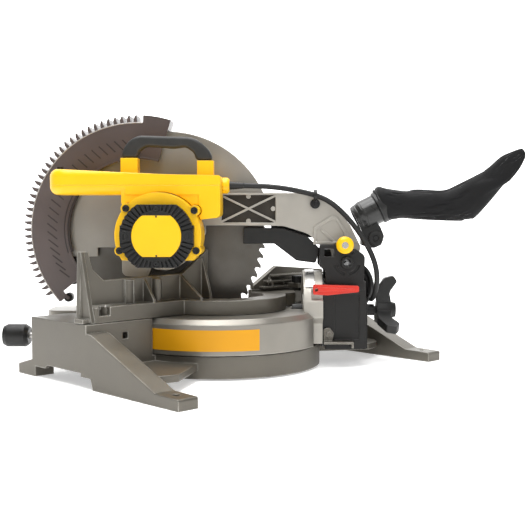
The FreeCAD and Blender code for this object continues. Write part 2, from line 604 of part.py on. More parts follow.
def lower_guard():
    """Swinging guard: smoky walls, rim and cooling fins round a ring set ahead of the arbor."""
    gy = dim("guard_y")
    gz = dim("guard_z")
    outer = dim("guard_outer")
    inner = dim("guard_inner")
    first, last = 73, 219
    near = sector(inner, outer, first, last, 2.5, "yz", 18.5, (gy, gz))
    tail = sector(150, outer, last - 1, last + 3.5, 2.5, "yz", 18.5, (gy, gz))
    lip = sector(inner, inner + 3, first, last, 4, "yz", 18.5, (gy, gz))
    rim = sector(outer - 3.5, outer, first, last, 47.5, "yz", -26.5, (gy, gz))
    far = sector(inner, outer, first, last, 2.5, "yz", -29, (gy, gz))
    cap = sector(outer - 3.5, dim("rib_tip"), first, first + 14, 47.5, "yz", -26.5, (gy, gz))
    spoke = plate([(dim("arbor_y") - 38, dim("arbor_z") - 20, 4), (dim("arbor_y") - 38, dim("arbor_z") + 38, 4),
                   (gy - inner - 10, gz + 34), (gy - inner - 10, gz - 40)], 2.5, "yz", -29)
    hub = cylinder(38, 2.5, (-29, dim("arbor_y"), dim("arbor_z")), "x")
    fins = []
    for i in range(36):
        angle = math.radians(first + 18 + 3.55 * i)
        fin = plate([(outer - 2, -3), (outer - 2, 3), (dim("rib_tip") - 5, 2.4), (dim("rib_tip"), -0.6),
                     (dim("rib_tip"), -2), (dim("rib_tip") - 5, -2.4)], 46, "yz", -26)
        fin.Placement = Placement(Vector(0, gy, gz), Rotation(Vector(1, 0, 0), math.degrees(angle))).multiply(
            fin.Placement)
        fins.append(fin)
    guard = unite(near, tail, lip, rim, far, cap, spoke, hub, *fins)
    wedge = block((200, 500, 200), (-100, -400, -200), Placement(Vector(0, 0, 92), Rotation(Vector(0, 1, 0), 48)))
    bore = cylinder("30 + running_gap", 20, (-40, dim("arbor_y"), dim("arbor_z")), "x")
    pin = cylinder(2.5, 17, (3.5, -234, 104.5), "x")
    return unite(cut(guard, wedge, bore), pin)


def guard_roller():
    return cut(cylinder(7, 12, (4, -234, 104.5), "x"), cylinder(2.55, 12, (4, -234, 104.5), "x"))


def gear_case():
    y = dim("arbor_y")
    z = dim("arbor_z")
    lay = dim("motor_z") + 24
    outer = unite(cylinder(46, 52, (12.2, y, z), "x"), cylinder(27, 52, (12.2, y, lay), "x"),
                  plate([(-143, 196), (-143, 141, 9), (-104, 139, 9), (-96, 160), (-80, 196)], 34, "yz", 24))
    cavity = unite(cylinder(26, 36, (22, y, z), "x"), cylinder(21, 36, (22, y, lay), "x"))
    return cut(outer, cavity, cylinder(16, 12, (12, y, z), "x"), cylinder(8, 10, (56, y, dim("motor_z")), "x"),
               cylinder(4, 4, (18.5, y, lay), "x"), cylinder(4, 4, (57.5, y, lay), "x"))


# Screw lugs of the motor housing, as (y, z)
MOTOR_LUGS = ((-125, 242), (-28, 239), (-134.5, 182), (-25.5, 182))


def motor_housing():
    y = dim("arbor_y")
    z = dim("motor_z")
    shell = common(cylinder("motor_radius", 64, (64.4, y, z), "x"), block((80, 140, 120), (60, y - 70, 168)))
    lower = cylinder(46, 64, (64.4, y, z), "x")
    lugs = [cylinder(7.5, 64, (64.4, ly, lz), "x") for ly, lz in MOTOR_LUGS]
    hollow = cylinder(40, 70, (68, y, z), "x")
    flat = block((100, 200, 40), (60, y - 100, 118.2))
    slots = [block((26, 60, 3), (78, y - 75, z + dz)) for dz in (-14, -6, 2, 10)]
    screws = [cylinder(2.6, 80, (60, ly, lz), "x") for ly, lz in MOTOR_LUGS]
    return cut(unite(shell, lower, *lugs), hollow, flat, cylinder(8, 20, (60, y, z), "x"), *(slots + screws))


def motor_screws():
    y = dim("arbor_y")
    long_screws = [hex_screw(2.5, 68, 5, 3, (60.6, ly, lz), "x")
                   for ly, lz in MOTOR_LUGS]
    cap_screws = [cut(cylinder(4, 2.5, (144, y, dim("motor_z") + side * 38.5), "x"),
                      cylinder(1.8, 2, (145, y, dim("motor_z") + side * 38.5), "x")) for side in (-1, 1)]
    return group(long_screws + cap_screws)


def motor_end_cap():
    y = dim("arbor_y")
    z = dim("motor_z")
    half = dim("cap_half")
    disc = common(cylinder("cap_radius", 17.3, (128.7, y, z), "x"),
                  block((30, 120, 2 * half), (125, y - 60, z - half)))
    brush = [block((13, 16, 30), (128.7, y + side * 44 - 8, z - 15)) for side in (-1, 1)]
    hollow = cylinder(38, 12, (128, y, z), "x")
    vents = []
    for i in range(44):
        angle = 360 * (i + 0.5) / 44
        if min(abs(angle - q) for q in (0, 90, 180, 270, 360)) > 9:
            slot = block((8, 16, 2.6), (141, 36.5, -1.3))
            slot.Placement = Placement(Vector(0, y, z), Rotation(Vector(1, 0, 0), angle)).multiply(slot.Placement)
            vents.append(slot)
    seat = common(cylinder("badge_radius + 0.4", 3, (144, y, z), "x"),
                  block((10, 90, 2 * dim("badge_half") + 0.8), (140, y - 45, z - dim("badge_half") - 0.4)))
    screws = [cylinder(5, 3, (144, y, z + side * 38.5), "x") for side in (-1, 1)]
    return cut(unite(disc, *brush), hollow, seat, *(vents + screws),
               *[cylinder(6.2, 14, (134, y + side * 46, z), "x") for side in (-1, 1)])


def brush_caps():
    y = dim("arbor_y")
    z = dim("motor_z")
    return group([cut(cylinder(6, 7, (138.7, y + side * 46, z), "x"),
                      block((2, 1.6, 9), (144.2, y + side * 46 - 0.8, z - 4.5))) for side in (-1, 1)])


def badge():
    y = dim("arbor_y")
    z = dim("motor_z")
    half = dim("badge_half")
    return common(cylinder("badge_radius", 2.6, (144, y, z), "x"),
                  block((10, 90, 2 * half), (140, y - 45, z - half)))


def stator():
    y = dim("arbor_y")
    z = dim("motor_z")
    poles = [block((30, 8, 12), (80, y - 4, z + side * 30 - 6)) for side in (-1, 1)]
    ring = cut(cylinder(39.6, 34, (78, y, z), "x"), cylinder(31, 34, (78, y, z), "x"))
    return cut(unite(ring, *poles), cylinder(25, 50, (70, y, z), "x"))


def gear_outline(teeth, phase, centre):
    """Teeth with straight flanks and generous backlash; phase is the angle of the first tooth."""
    module = dim("gear_module")
    root = module * teeth / 2 - 1.15 * module
    tip = module * teeth / 2 + 0.85 * module
    pitch = 2 * math.pi / teeth
    points = []
    for i in range(teeth):
        middle = phase + pitch * i
        for radius, offset in ((root, -0.27), (tip, -0.11), (tip, 0.11), (root, 0.27)):
            angle = middle + offset * pitch
            points.append((centre[0] + radius * math.cos(angle), centre[1] + radius * math.sin(angle)))
    return points


def armature():
    y = dim("arbor_y")
    z = dim("motor_z")
    pinion = plate(gear_outline(int(dim("pinion_teeth")), math.pi / 2, (y, z)), 12, "yz", 44)
    blades = []
    for i in range(10):
        vane = block((6, 20, 2), (70.5, 12, -1))
        vane.Placement = Placement(Vector(0, y, z), Rotation(Vector(1, 0, 0), 36 * i)).multiply(vane.Placement)
        blades.append(vane)
    return unite(cylinder("4 - running_gap", 96, (44, y, z), "x"), cylinder(24, 34, (78, y, z), "x"),
                 cylinder(14, 16, (116, y, z), "x"), pinion, cylinder(34, 1.5, (69, y, z), "x"),
                 cylinder(13, 9, (69, y, z), "x"), *blades)


def lay_gear():
    y = dim("arbor_y")
    z = dim("motor_z") + 24
    teeth = int(dim("lay_teeth"))
    wheel = plate(gear_outline(teeth, -math.pi / 2 + math.pi / teeth, (y, z)), 9, "yz", 45.5)
    pinion = plate(gear_outline(int(dim("lay_pinion_teeth")), -math.pi / 2, (y, z)), 13, "yz", 29)
    return unite(wheel, pinion, cylinder("4 - running_gap", 42, (19, y, z), "x"))


def spindle():
    """Arbor with its driven gear; the blade sits against the fixed inner flange."""
    y = dim("arbor_y")
    z = dim("arbor_z")
    teeth = int(dim("spindle_teeth"))
    wheel = plate(gear_outline(teeth, math.pi / 2 + math.pi / teeth, (y, z)), 10, "yz", 30.5)
    nose = cylinder("12.7 - running_gap", 12, (-6, y, z), "x")
    rod = cylinder("8 - running_gap", 44, (-2, y, z), "x")
    return cut(unite(rod, wheel, nose), cylinder(4, 18, (-7, y, z), "x"))


def ball_bearings():
    y = dim("arbor_y")
    seats = [(16.4, dim("arbor_z"), 8, 15.9), (59.5, dim("motor_z"), 4, 8), (135, dim("motor_z"), 4, 9)]
    return group([cut(cylinder(outer, 5, (x, y, z), "x"), cylinder("%s" % inner, 5, (x, y, z), "x"))
                  for x, z, inner, outer in seats])


def blade():
    y = dim("arbor_y")
    z = dim("arbor_z")
    radius = dim("blade_radius")
    teeth = int(dim("tooth_count"))
    step = 2 * math.pi / teeth
    outline = []
    for i in range(teeth):
        base = step * i
        for r, part in ((radius, 0), (radius - 1.2, 0.28), (radius - 5, 0.5), (radius - 8.5, 0.72),
                        (radius - 8.5, 0.9), (radius - 5.5, 1.0)):
            outline.append((y + r * math.cos(base + part * step), z + r * math.sin(base + part * step)))
    return plate(outline, "blade_thick", "yz", -1.3, [(y, z, 12.7)])


def blade_flanges():
    y = dim("arbor_y")
    z = dim("arbor_z")
    return group([cut(cylinder(24, 4.5, (x, y, z), "x"), cylinder(12.7, 4.5, (x, y, z), "x"))
                  for x in (1.3, -5.8)])


def blade_bolt():
    y = dim("arbor_y")
    z = dim("arbor_z")
    head = cut(cylinder(13, 6, (-12, y, z), "x"), cylinder(5, 4, (-12.5, y, z), "x"))
    return unite(head, cylinder("4 - running_gap", 17, (-7, y, z), "x"))


def rounded(thing, radius, *heights):
    """The solid with its level edges at these heights filleted."""
    doc.recompute()
    size = dim(radius)
    level = []
    for i, edge in enumerate(thing.Shape.Edges, start=1):
        box = edge.BoundBox
        if box.ZLength < 0.01 and any(abs(box.ZMin - height) < 0.01 for height in heights):
            level.append((i, size, size))
    fillet = doc.addObject("Part::Fillet", "Fillet")
    fillet.Base = thing
    fillet.Edges = level
    return fillet


def handle_solid():
    """Horizontal loop handle, the bridge over the motor and the deep box behind it, before splitting."""
    loop = rounded(plate([(30, -244, 26), (104, -244, 26), (104, -70, 10), (30, -70, 10)], 38, "xy", 262),
                   "handle_round", 262, 300)
    opening = plate([(52, -214, 10), (84, -214, 10), (84, -152, 10), (52, -152, 10)], 60, "xy", 250)
    bridge = plate([(-130, 262), (-130, 293), (7.5, 290, 3), (7.5, 229, 8), (-24, 225.5), (-24, 262)],
                   74, "yz", 30)
    neck = plate([(-136, 246, 6), (-136, 270), (-24, 270), (-24, 225.5)], 38, "yz", 64.4)
    fore = block((36, 16, 12), (50, -136, 254))
    return unite(cut(loop, opening), bridge, neck, fore)


def post(y, width, top):
    return block((22, width, top - 288), (55, y, 288))


def handle_cavity():
    y = dim("arbor_y")
    z = dim("motor_z")
    cut_back = cylinder("motor_radius + 1.2", 80, (50, y, z), "x")
    top_slope = plate([(-250, 300.5), (-250, 312), (10, 312), (10, 290), (-70, 291.5), (-140, 294.5),
                       (-225, 299)], 90, "yz", 20)
    lugs = [cylinder(8.6, 90, (50, ly, lz), "x") for ly, lz in ((-125, 242), (-28, 239))]
    trigger_room = block((16, 20, 26), (60, -230, 268))
    button_room = cylinder(5.3, 26, (68, -232, 284), "z")
    inside = block((62, 110, 22), (36, -110, 264))
    case_room = block((34, 110, 60), (20, -130, 205))
    return [cut_back, top_slope, trigger_room, button_room, inside, case_room] + lugs


def handle_lower_shell():
    keep = block((200, 400, 95.5), (-20, -300, 180))
    arm_room = block((60, 60, 60), (-30, -36, 205))
    return cut(common(cut(handle_solid(), *handle_cavity()), keep), arm_room)


def handle_upper_shell():
    keep = block((200, 400, 100), (-20, -300, 275.6))
    posts = [post(-140.7, 25.3, 316.4), post(-28, 24, 312.6)]
    return unite(common(cut(handle_solid(), *handle_cavity()), keep), *posts)


def carry_grip():
    """Black D-shaped carrying grip that bridges the two posts."""
    outer = [(-140, 316.5), (-138, 330, 30), (-122, 350, 30), (-30, 347, 40), (-8, 326, 30), (-5, 312.7)]
    inner = [(-29.5, 312.7), (-33, 324, 10), (-45, 333, 12), (-63, 330.5, 30), (-103, 333.5, 14),
             (-114, 326, 8), (-116, 316.5)]
    return plate(outer + inner, 20, "yz", 56)


def trigger():
    return plate([(-223.5, 271, 2), (-223.5, 291, 2), (-207, 289, 5), (-203, 280, 4), (-207, 272, 4)],
                 15, "yz", 60.5)


def lock_off_button():
    return cylinder(5, 9, (68, -232, 294.6), "z")


def cord_boss():
    return cut(unite(cylinder(12, 7.5, (46, 7.8, 276.6), "y"), cone(12, 9.5, 3, (46, 15.3, 276.6), "y")),
               cylinder("cord_radius", 12, (46, 7, 276.6), "y"))


def cord_clip():
    """Screwed lug on the arm's side with a ring that holds the lead."""
    ring = cut(cylinder(9, 5, (30, 146, 262.3), "y"), cylinder(6.4, 5, (30, 146, 262.3), "y"))
    lug = cylinder(7.5, 5, (20.3, 148.5, 249.5), "x")
    web = block((8, 5, 6), (20.3, 146, 251))
    return unite(ring, lug, web, cylinder(3, 2, (25, 148.5, 247.5), "x"))


def dust_chute():
    """Duct behind the blade, slotted where the blade runs through it."""
    outer = plate([(38, 188), (38, 213, 2), (99, 212), (136, 200), (156, 181), (150, 158, 4), (120, 162, 8),
                   (86, 188, 4)], 21, "yz", -4)
    inner = plate([(30, 191), (30, 210, 2), (98, 209), (118, 202), (118, 167), (88, 191, 3)], 15, "yz", -1)
    slot = block((10, 46, 90), (-5, 30, 150))
    return cut(outer, inner, slot)


def tilted(length, radius, distance):
    """A cylinder on the dust spout's rising axis, from this distance along it."""
    lean = Rotation(Vector(1, 0, 0), -63)
    solid = cylinder(radius, length, (0, 0, 0))
    solid.Placement = Placement(Vector(0, 224, 231) + lean.multVec(Vector(0, 0, distance)), lean)
    return solid


def dust_spout():
    """Elbow behind the arm with a round tube for the bag and a screw lug below."""
    lug = plate([(221, 186), (221, 226), (236, 234), (250, 214), (256, 200, 8), (252, 186, 8), (240, 181, 8),
                 (226, 184)], 26, "yz", -13)
    tube = unite(tilted(40, 21.5, 0), tilted(12, 23, 0))
    slope = plate([(160, 300), (206, 219), (222, 184), (160, 100)], 60, "yz", -30)
    return cut(unite(lug, tube), tilted(60, 19, 2), slope, cylinder(4, 40, (-20, 243, 196.6), "x"))


def bag_collar():
    return cut(tilted(16, 25.5, 25.7), tilted(30, 21.6, 22))


def dust_bag():
    """Slack cloth bag with a bend near its middle and a flat sewn end."""
    sections = [((262, 250), 63, 22.5, 24), ((285, 251), 88, 20, 21.5), ((330, 246), 92, 22.5, 21),
                ((372, 248), 78, 24.5, 22), ((402, 262), 62, 27.5, 22), ((432, 290), 52, 21, 18),
                ((466, 323), 50, 13, 10), ((480, 338), 50, 9, 4)]
    wires = []
    for (y, z), lean, half_height, half_width in sections:
        shape = Part.Ellipse(Vector(), max(half_height, half_width), min(half_height, half_width))
        edge = Part.Wire(shape.toShape())
        spin = Rotation(Vector(0, 0, 1), 90) if half_height > half_width else Rotation()
        tilt = Rotation(Vector(1, 0, 0), lean - 90 - 90)
        edge.Placement = Placement(Vector(0, y, z), tilt.multiply(spin))
        wires.append(edge)
    bag = doc.addObject("Part::Feature", "Bag")
    bag.Shape = Part.makeLoft(wires, True, False)
    return cut(bag, tilted(43.2, 34, 0))


# ---------------------------------------------------------------- power cord

CORD_ARM = [(46, 18.5, 276.6), (44, 52, 277), (38, 96, 274), (31, 132, 267), (30, 150.5, 262)]
CORD_LOOP = [(30, 151.5, 261.7), (31, 170, 253.5), (33, 189, 237.5), (36, 208, 216), (39.5, 226, 189),
             (41.5, 239, 161), (41.5, 243, 134), (26, 240, 108.5), (-1.5, 237, 98.8), (-26, 242.5, 107.5),
             (-38, 254, 130), (-40, 257.5, 152)]


def rounded_path(points):
    """Straight runs joined by tangent arcs, each as large as its two runs allow."""
    corners = [Vector(*p) for p in points]
    edges = []
    radii = []
    start = corners[0]
    for before, point, after in zip(corners, corners[1:], corners[2:]):
        towards = (before - point).normalize()
        away = (after - point).normalize()
        turn = math.pi - towards.getAngle(away)
        reach = 0.45 * min(before.distanceToPoint(point), point.distanceToPoint(after))
        radius = reach / math.tan(turn / 2)
        centre = point + (towards + away).normalize() * (radius / math.cos(turn / 2))
        middle = centre + (point - centre).normalize() * radius
        edges.append(Part.LineSegment(start, point + towards * reach).toShape())
        edges.append(Part.Arc(point + towards * reach, middle, point + away * reach).toShape())
        radii.append(round(radius, 1))
        start = point + away * reach
    edges.append(Part.LineSegment(start, corners[-1]).toShape())
    return Part.Wire(edges), radii


def cord_tube(name, points):
    path, radii = rounded_path(points)
    radius = dim("cord_radius")
    direction = Vector(*points[1]) - Vector(*points[0])
    profile = Part.Wire(Part.Circle(Vector(*points[0]), direction, radius).toShape())
    tube = doc.addObject("Part::Feature", "Tube")
    tube.Shape = path.makePipeShell([profile], True, True)
    ideal = math.pi * radius ** 2 * path.Length
    ratio = round(tube.Shape.Volume / ideal, 4)
    print(name, "length", round(path.Length, 1), "radii", radii, "volume ratio", ratio)
    return tube


def cord_coil():
    """Outer shape of the tied coil that hangs on the column's left side."""
    x, y, z = COIL_CENTRE
    start = (x - dim("coil_width") / 2, y, z)
    return cut(cylinder("coil_outer", "coil_width", start, "x"), cylinder("coil_inner", "coil_width", start, "x"))


def power_plug():
    """Moulded plug strapped to the coil's outer face, two flat blades and a round earth pin upwards."""
    x, y, z = COIL_CENTRE
    left = x - 42
    low = z - 5
    body = plate([(y - 14, low, 6), (y - 14, low + 34, 5), (y + 14, low + 34, 5), (y + 14, low, 6)], 24, "yz", left)
    neck = cone(5.5, 9, 12, (left + 12, y, low - 12))
    pins = [block((6.4, 1.6, 17), (left + 8.8, y + side * 6.3 - 0.8, low + 33)) for side in (-1, 1)]
    return unite(body, neck, cylinder(2.4, 19, (left + 18, y, low + 33)), *pins)


# ---------------------------------------------------------------- all sub-parts

BASE_NODES = [base_casting, miter_scale_plate, table_pivot_bolt, fence_casting, fence_bolts,
              left_sliding_fence, fence_clamp_knob]
HEAD_NODES = [turntable, kerf_plate, kerf_screws, miter_lock_rod, miter_lock_knob, miter_latch, label_band,
              bevel_quadrant, bevel_scale, bevel_pivot_bolt, bevel_stop_lever, rear_bracket, bevel_column,
              hinge_shaft, hinge_bushes, head_spring, lock_pin, lock_pin_knob, bevel_clamp_knob, arm_casting,
              upper_guard, lower_guard, guard_roller, gear_case, motor_housing, motor_screws, motor_end_cap,
              brush_caps, badge, stator, armature, lay_gear, spindle, ball_bearings, blade, blade_flanges,
              blade_bolt, handle_lower_shell, handle_upper_shell, carry_grip, trigger, lock_off_button, cord_boss,
              cord_clip, dust_chute, dust_spout, bag_collar, dust_bag, cord_coil, power_plug]

for make in BASE_NODES:
    node(make.__name__, make())
for make in HEAD_NODES:
    node(make.__name__, make(), HEAD)
node("cord_arm", cord_tube("cord_arm", CORD_ARM), HEAD)
node("cord_loop", cord_tube("cord_loop", CORD_LOOP), HEAD)

doc.recompute()
problems = [o.Name + " " + str(o.State) for o in doc.Objects if "Invalid" in o.State or "Error" in o.State]
for part in nodes:
    if part.Shape.isNull() or not part.Shape.isValid() or part.Shape.Volume <= 0:
        problems.append(part.Label + " has no valid shape")
if problems:
    raise RuntimeError("; ".join(problems))
os.makedirs("parts", exist_ok=True)
for part in nodes:
    part.Shape.exportStep(os.path.join("parts", part.Label + ".step"))
print(len(nodes), "nodes written")
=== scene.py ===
"""Looks of the compound miter saw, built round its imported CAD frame. Metres throughout.

Places on the head are given in the head's own axes: across the blade towards the motor,
back along the blade, and up. HEAD turns them into the row frame by the miter angle.
"""
import json
import math

import bpy
import bmesh
from mathutils import Matrix, Vector


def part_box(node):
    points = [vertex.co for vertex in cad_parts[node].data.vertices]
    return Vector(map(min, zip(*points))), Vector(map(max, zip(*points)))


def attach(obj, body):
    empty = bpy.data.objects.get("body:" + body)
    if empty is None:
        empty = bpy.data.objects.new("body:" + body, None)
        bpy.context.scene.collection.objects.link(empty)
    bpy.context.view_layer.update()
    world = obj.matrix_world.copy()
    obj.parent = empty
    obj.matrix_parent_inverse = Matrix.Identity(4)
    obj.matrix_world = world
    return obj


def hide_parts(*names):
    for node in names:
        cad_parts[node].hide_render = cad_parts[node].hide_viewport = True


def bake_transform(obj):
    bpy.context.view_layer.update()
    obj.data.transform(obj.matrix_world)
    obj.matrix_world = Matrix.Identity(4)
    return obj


MM = 0.001
MITER_ANGLE = math.radians(45)
HEAD = Matrix.Rotation(MITER_ANGLE, 4, "Z")

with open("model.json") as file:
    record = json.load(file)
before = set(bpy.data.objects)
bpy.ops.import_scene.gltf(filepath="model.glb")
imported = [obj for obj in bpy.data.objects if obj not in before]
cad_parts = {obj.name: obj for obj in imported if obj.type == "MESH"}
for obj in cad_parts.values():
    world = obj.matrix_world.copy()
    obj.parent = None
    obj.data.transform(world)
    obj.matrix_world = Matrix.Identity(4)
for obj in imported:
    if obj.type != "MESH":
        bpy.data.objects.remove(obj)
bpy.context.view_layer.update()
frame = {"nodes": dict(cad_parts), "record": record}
nodes = frame["nodes"]


def head_point(across, back, up):
    """A point of the head, given in millimetres, in the row frame."""
    return HEAD @ Vector((across * MM, back * MM, up * MM))


# ---------------------------------------------------------------- material parts

def new_material(name):
    material = bpy.data.materials.new(name)
    material.use_nodes = True
    tree = material.node_tree
    return material, tree, tree.nodes["Principled BSDF"]


def add_node(tree, kind, inputs=None, **settings):
    """A node with its settings and its unlinked inputs filled in."""
    made = tree.nodes.new(kind)
    for key, value in settings.items():
        setattr(made, key, value)
    for key, value in (inputs or {}).items():
        if isinstance(value, bpy.types.NodeSocket):
            tree.links.new(value, made.inputs[key])
        else:
            made.inputs[key].default_value = value
    return made


def object_place(tree):
    return add_node(tree, "ShaderNodeTexCoord").outputs["Object"]


def noise(tree, size, detail=3.0, place=None):
    """Noise whose features are about this many metres across."""
    inputs = {"Vector": place or object_place(tree), "Scale": 1 / size, "Detail": detail}
    return add_node(tree, "ShaderNodeTexNoise", inputs).outputs[0]


def ranged(tree, value, low, high, to_low, to_high):
    inputs = {0: value, 1: low, 2: high, 3: to_low, 4: to_high}
    return add_node(tree, "ShaderNodeMapRange", inputs, clamp=True).outputs[0]


def mixed(tree, share, first, second):
    """Colour between two colours."""
    mix = add_node(tree, "ShaderNodeMix", data_type="RGBA")
    tree.links.new(share, mix.inputs["Factor"])
    for socket, value in ((mix.inputs[6], first), (mix.inputs[7], second)):
        if isinstance(value, bpy.types.NodeSocket):
            tree.links.new(value, socket)
        else:
            socket.default_value = (*value, 1)
    return mix.outputs[2]


def shade(colour, share):
    return tuple(min(1.0, c * share) for c in colour)


def edge_share(tree, radius):
    """1 on sharp edges, 0 on flat faces, from how far a rounded normal leans from the true one."""
    rounded = add_node(tree, "ShaderNodeBevel", {"Radius": radius}, samples=6).outputs[0]
    true = add_node(tree, "ShaderNodeNewGeometry").outputs["Normal"]
    lean = add_node(tree, "ShaderNodeVectorMath", {0: rounded, 1: true}, operation="DOT_PRODUCT")
    return rounded, ranged(tree, lean.outputs["Value"], 0.992, 0.88, 0.0, 1.0)


def textured(name, colour, roughness, metallic, mottle, patch, grain, depth, rounding, scuffed_and_lit_colour, scuff_and_highlight, coat=0.0):
    """A finish with uneven tone, fine surface grain, softened edges, and scuffs with a painted highlight
    along them.
    """
    material, tree, shader = new_material(name)
    place = object_place(tree)
    broad = noise(tree, patch, 4.0, place)
    fine = noise(tree, grain, 2.0, place)
    rounded, edge = edge_share(tree, rounding)
    patches = ranged(tree, broad, 0.3, 0.7, 0.0, 1.0)
    tone = mixed(tree, patches, shade(colour, 1 - mottle), shade(colour, 1 + mottle))
    tone = mixed(tree, ranged(tree, fine, 0.25, 0.75, 0.0, 0.5), tone, shade(colour, 1 - mottle / 2))
    # Edges lighten towards their edge colour: partly scuffs, partly a painted highlight along them
    scuffed_and_lit = add_node(tree, "ShaderNodeMath", {0: edge, 1: ranged(tree, broad, 0.35, 0.65, 0.1, scuff_and_highlight)},
                      operation="MULTIPLY").outputs[0]
    tree.links.new(mixed(tree, scuffed_and_lit, tone, scuffed_and_lit_colour), shader.inputs["Base Color"])
    uneven = ranged(tree, broad, 0.3, 0.7, roughness - 0.06, roughness + 0.06)
    tree.links.new(uneven, shader.inputs["Roughness"])
    bump = add_node(tree, "ShaderNodeBump", {"Height": fine, "Distance": depth, "Strength": 1.0,
                                             "Normal": rounded})
    tree.links.new(bump.outputs[0], shader.inputs["Normal"])
    shader.inputs["Metallic"].default_value = metallic
    shader.inputs["Coat Weight"].default_value = coat
    shader.inputs["Coat Roughness"].default_value = 0.25
    shader.inputs["Specular IOR Level"].default_value = 0.35
    return material


def cloth(name, colour):
    """Woven nylon: two crossed sets of fine ribs with a soft sheen."""
    material, tree, shader = new_material(name)
    place = object_place(tree)
    threads = {"Vector": place, "Scale": 330.0, "Distortion": 0.6}
    warp = add_node(tree, "ShaderNodeTexWave", threads, bands_direction="Z")
    weft = add_node(tree, "ShaderNodeTexWave", threads, bands_direction="DIAGONAL")
    weave = add_node(tree, "ShaderNodeMath", {0: warp.outputs[1], 1: weft.outputs[1]},
                     operation="MULTIPLY").outputs[0]
    folds = noise(tree, 0.018, 4.0, place)
    # Lighter on the raised folds and darker in their hollows: painted light and shade
    tone = mixed(tree, folds, shade(colour, 0.75), shade(colour, 1.5))
    tone = mixed(tree, ranged(tree, weave, 0.0, 1.0, 0.0, 0.6), tone, shade(colour, 0.55))
    tree.links.new(tone, shader.inputs["Base Color"])
    creased = add_node(tree, "ShaderNodeBump", {"Height": folds, "Distance": 0.0012, "Strength": 0.6})
    woven = add_node(tree, "ShaderNodeBump", {"Height": weave, "Distance": 0.00012, "Strength": 0.8,
                                              "Normal": creased.outputs[0]})
    tree.links.new(woven.outputs[0], shader.inputs["Normal"])
    tree.links.new(ranged(tree, folds, 0.3, 0.7, 0.62, 0.8), shader.inputs["Roughness"])
    shader.inputs["Specular IOR Level"].default_value = 0.15
    shader.inputs["Sheen Weight"].default_value = 0.15
    shader.inputs["Sheen Roughness"].default_value = 0.4
    return material


def ground_steel(name, colour, centre_node):
    """Ground plate: rings round the arbor show as fine turned lines."""
    material, tree, shader = new_material(name)
    low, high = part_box(centre_node)
    middle = HEAD.inverted() @ ((Vector(low) + Vector(high)) / 2)
    turn_back = {"Vector": object_place(tree), "Rotation": (0, 0, -MITER_ANGLE)}
    turned = add_node(tree, "ShaderNodeMapping", turn_back, vector_type="POINT").outputs[0]
    from_arbor = add_node(tree, "ShaderNodeVectorMath", {0: turned, 1: tuple(middle)},
                          operation="SUBTRACT").outputs[0]
    flat = add_node(tree, "ShaderNodeVectorMath", {0: from_arbor, 1: (0.0, 1.0, 1.0)},
                    operation="MULTIPLY").outputs[0]
    radius = add_node(tree, "ShaderNodeVectorMath", {0: flat}, operation="LENGTH").outputs["Value"]
    rings = add_node(tree, "ShaderNodeTexNoise", {"W": radius, "Scale": 1600.0, "Detail": 2.0},
                     noise_dimensions="1D").outputs[0]
    smudge = noise(tree, 0.05, 4.0)
    rounded, edge = edge_share(tree, 0.0004)
    tone = mixed(tree, rings, shade(colour, 0.85), shade(colour, 1.1))
    tone = mixed(tree, ranged(tree, smudge, 0.4, 0.7, 0.0, 0.35), tone, shade(colour, 0.6))
    tree.links.new(tone, shader.inputs["Base Color"])
    tree.links.new(ranged(tree, smudge, 0.3, 0.7, 0.3, 0.46), shader.inputs["Roughness"])
    bump = add_node(tree, "ShaderNodeBump", {"Height": rings, "Distance": 0.00002, "Strength": 1.0,
                                             "Normal": rounded})
    tree.links.new(bump.outputs[0], shader.inputs["Normal"])
    shader.inputs["Metallic"].default_value = 0.9
    return material


# Light colour of the castings' edges: bare metal where paint is scuffed off, and a painted highlight along
# them
SCUFFED_AND_LIT_EDGE = (0.60, 0.58, 0.53)
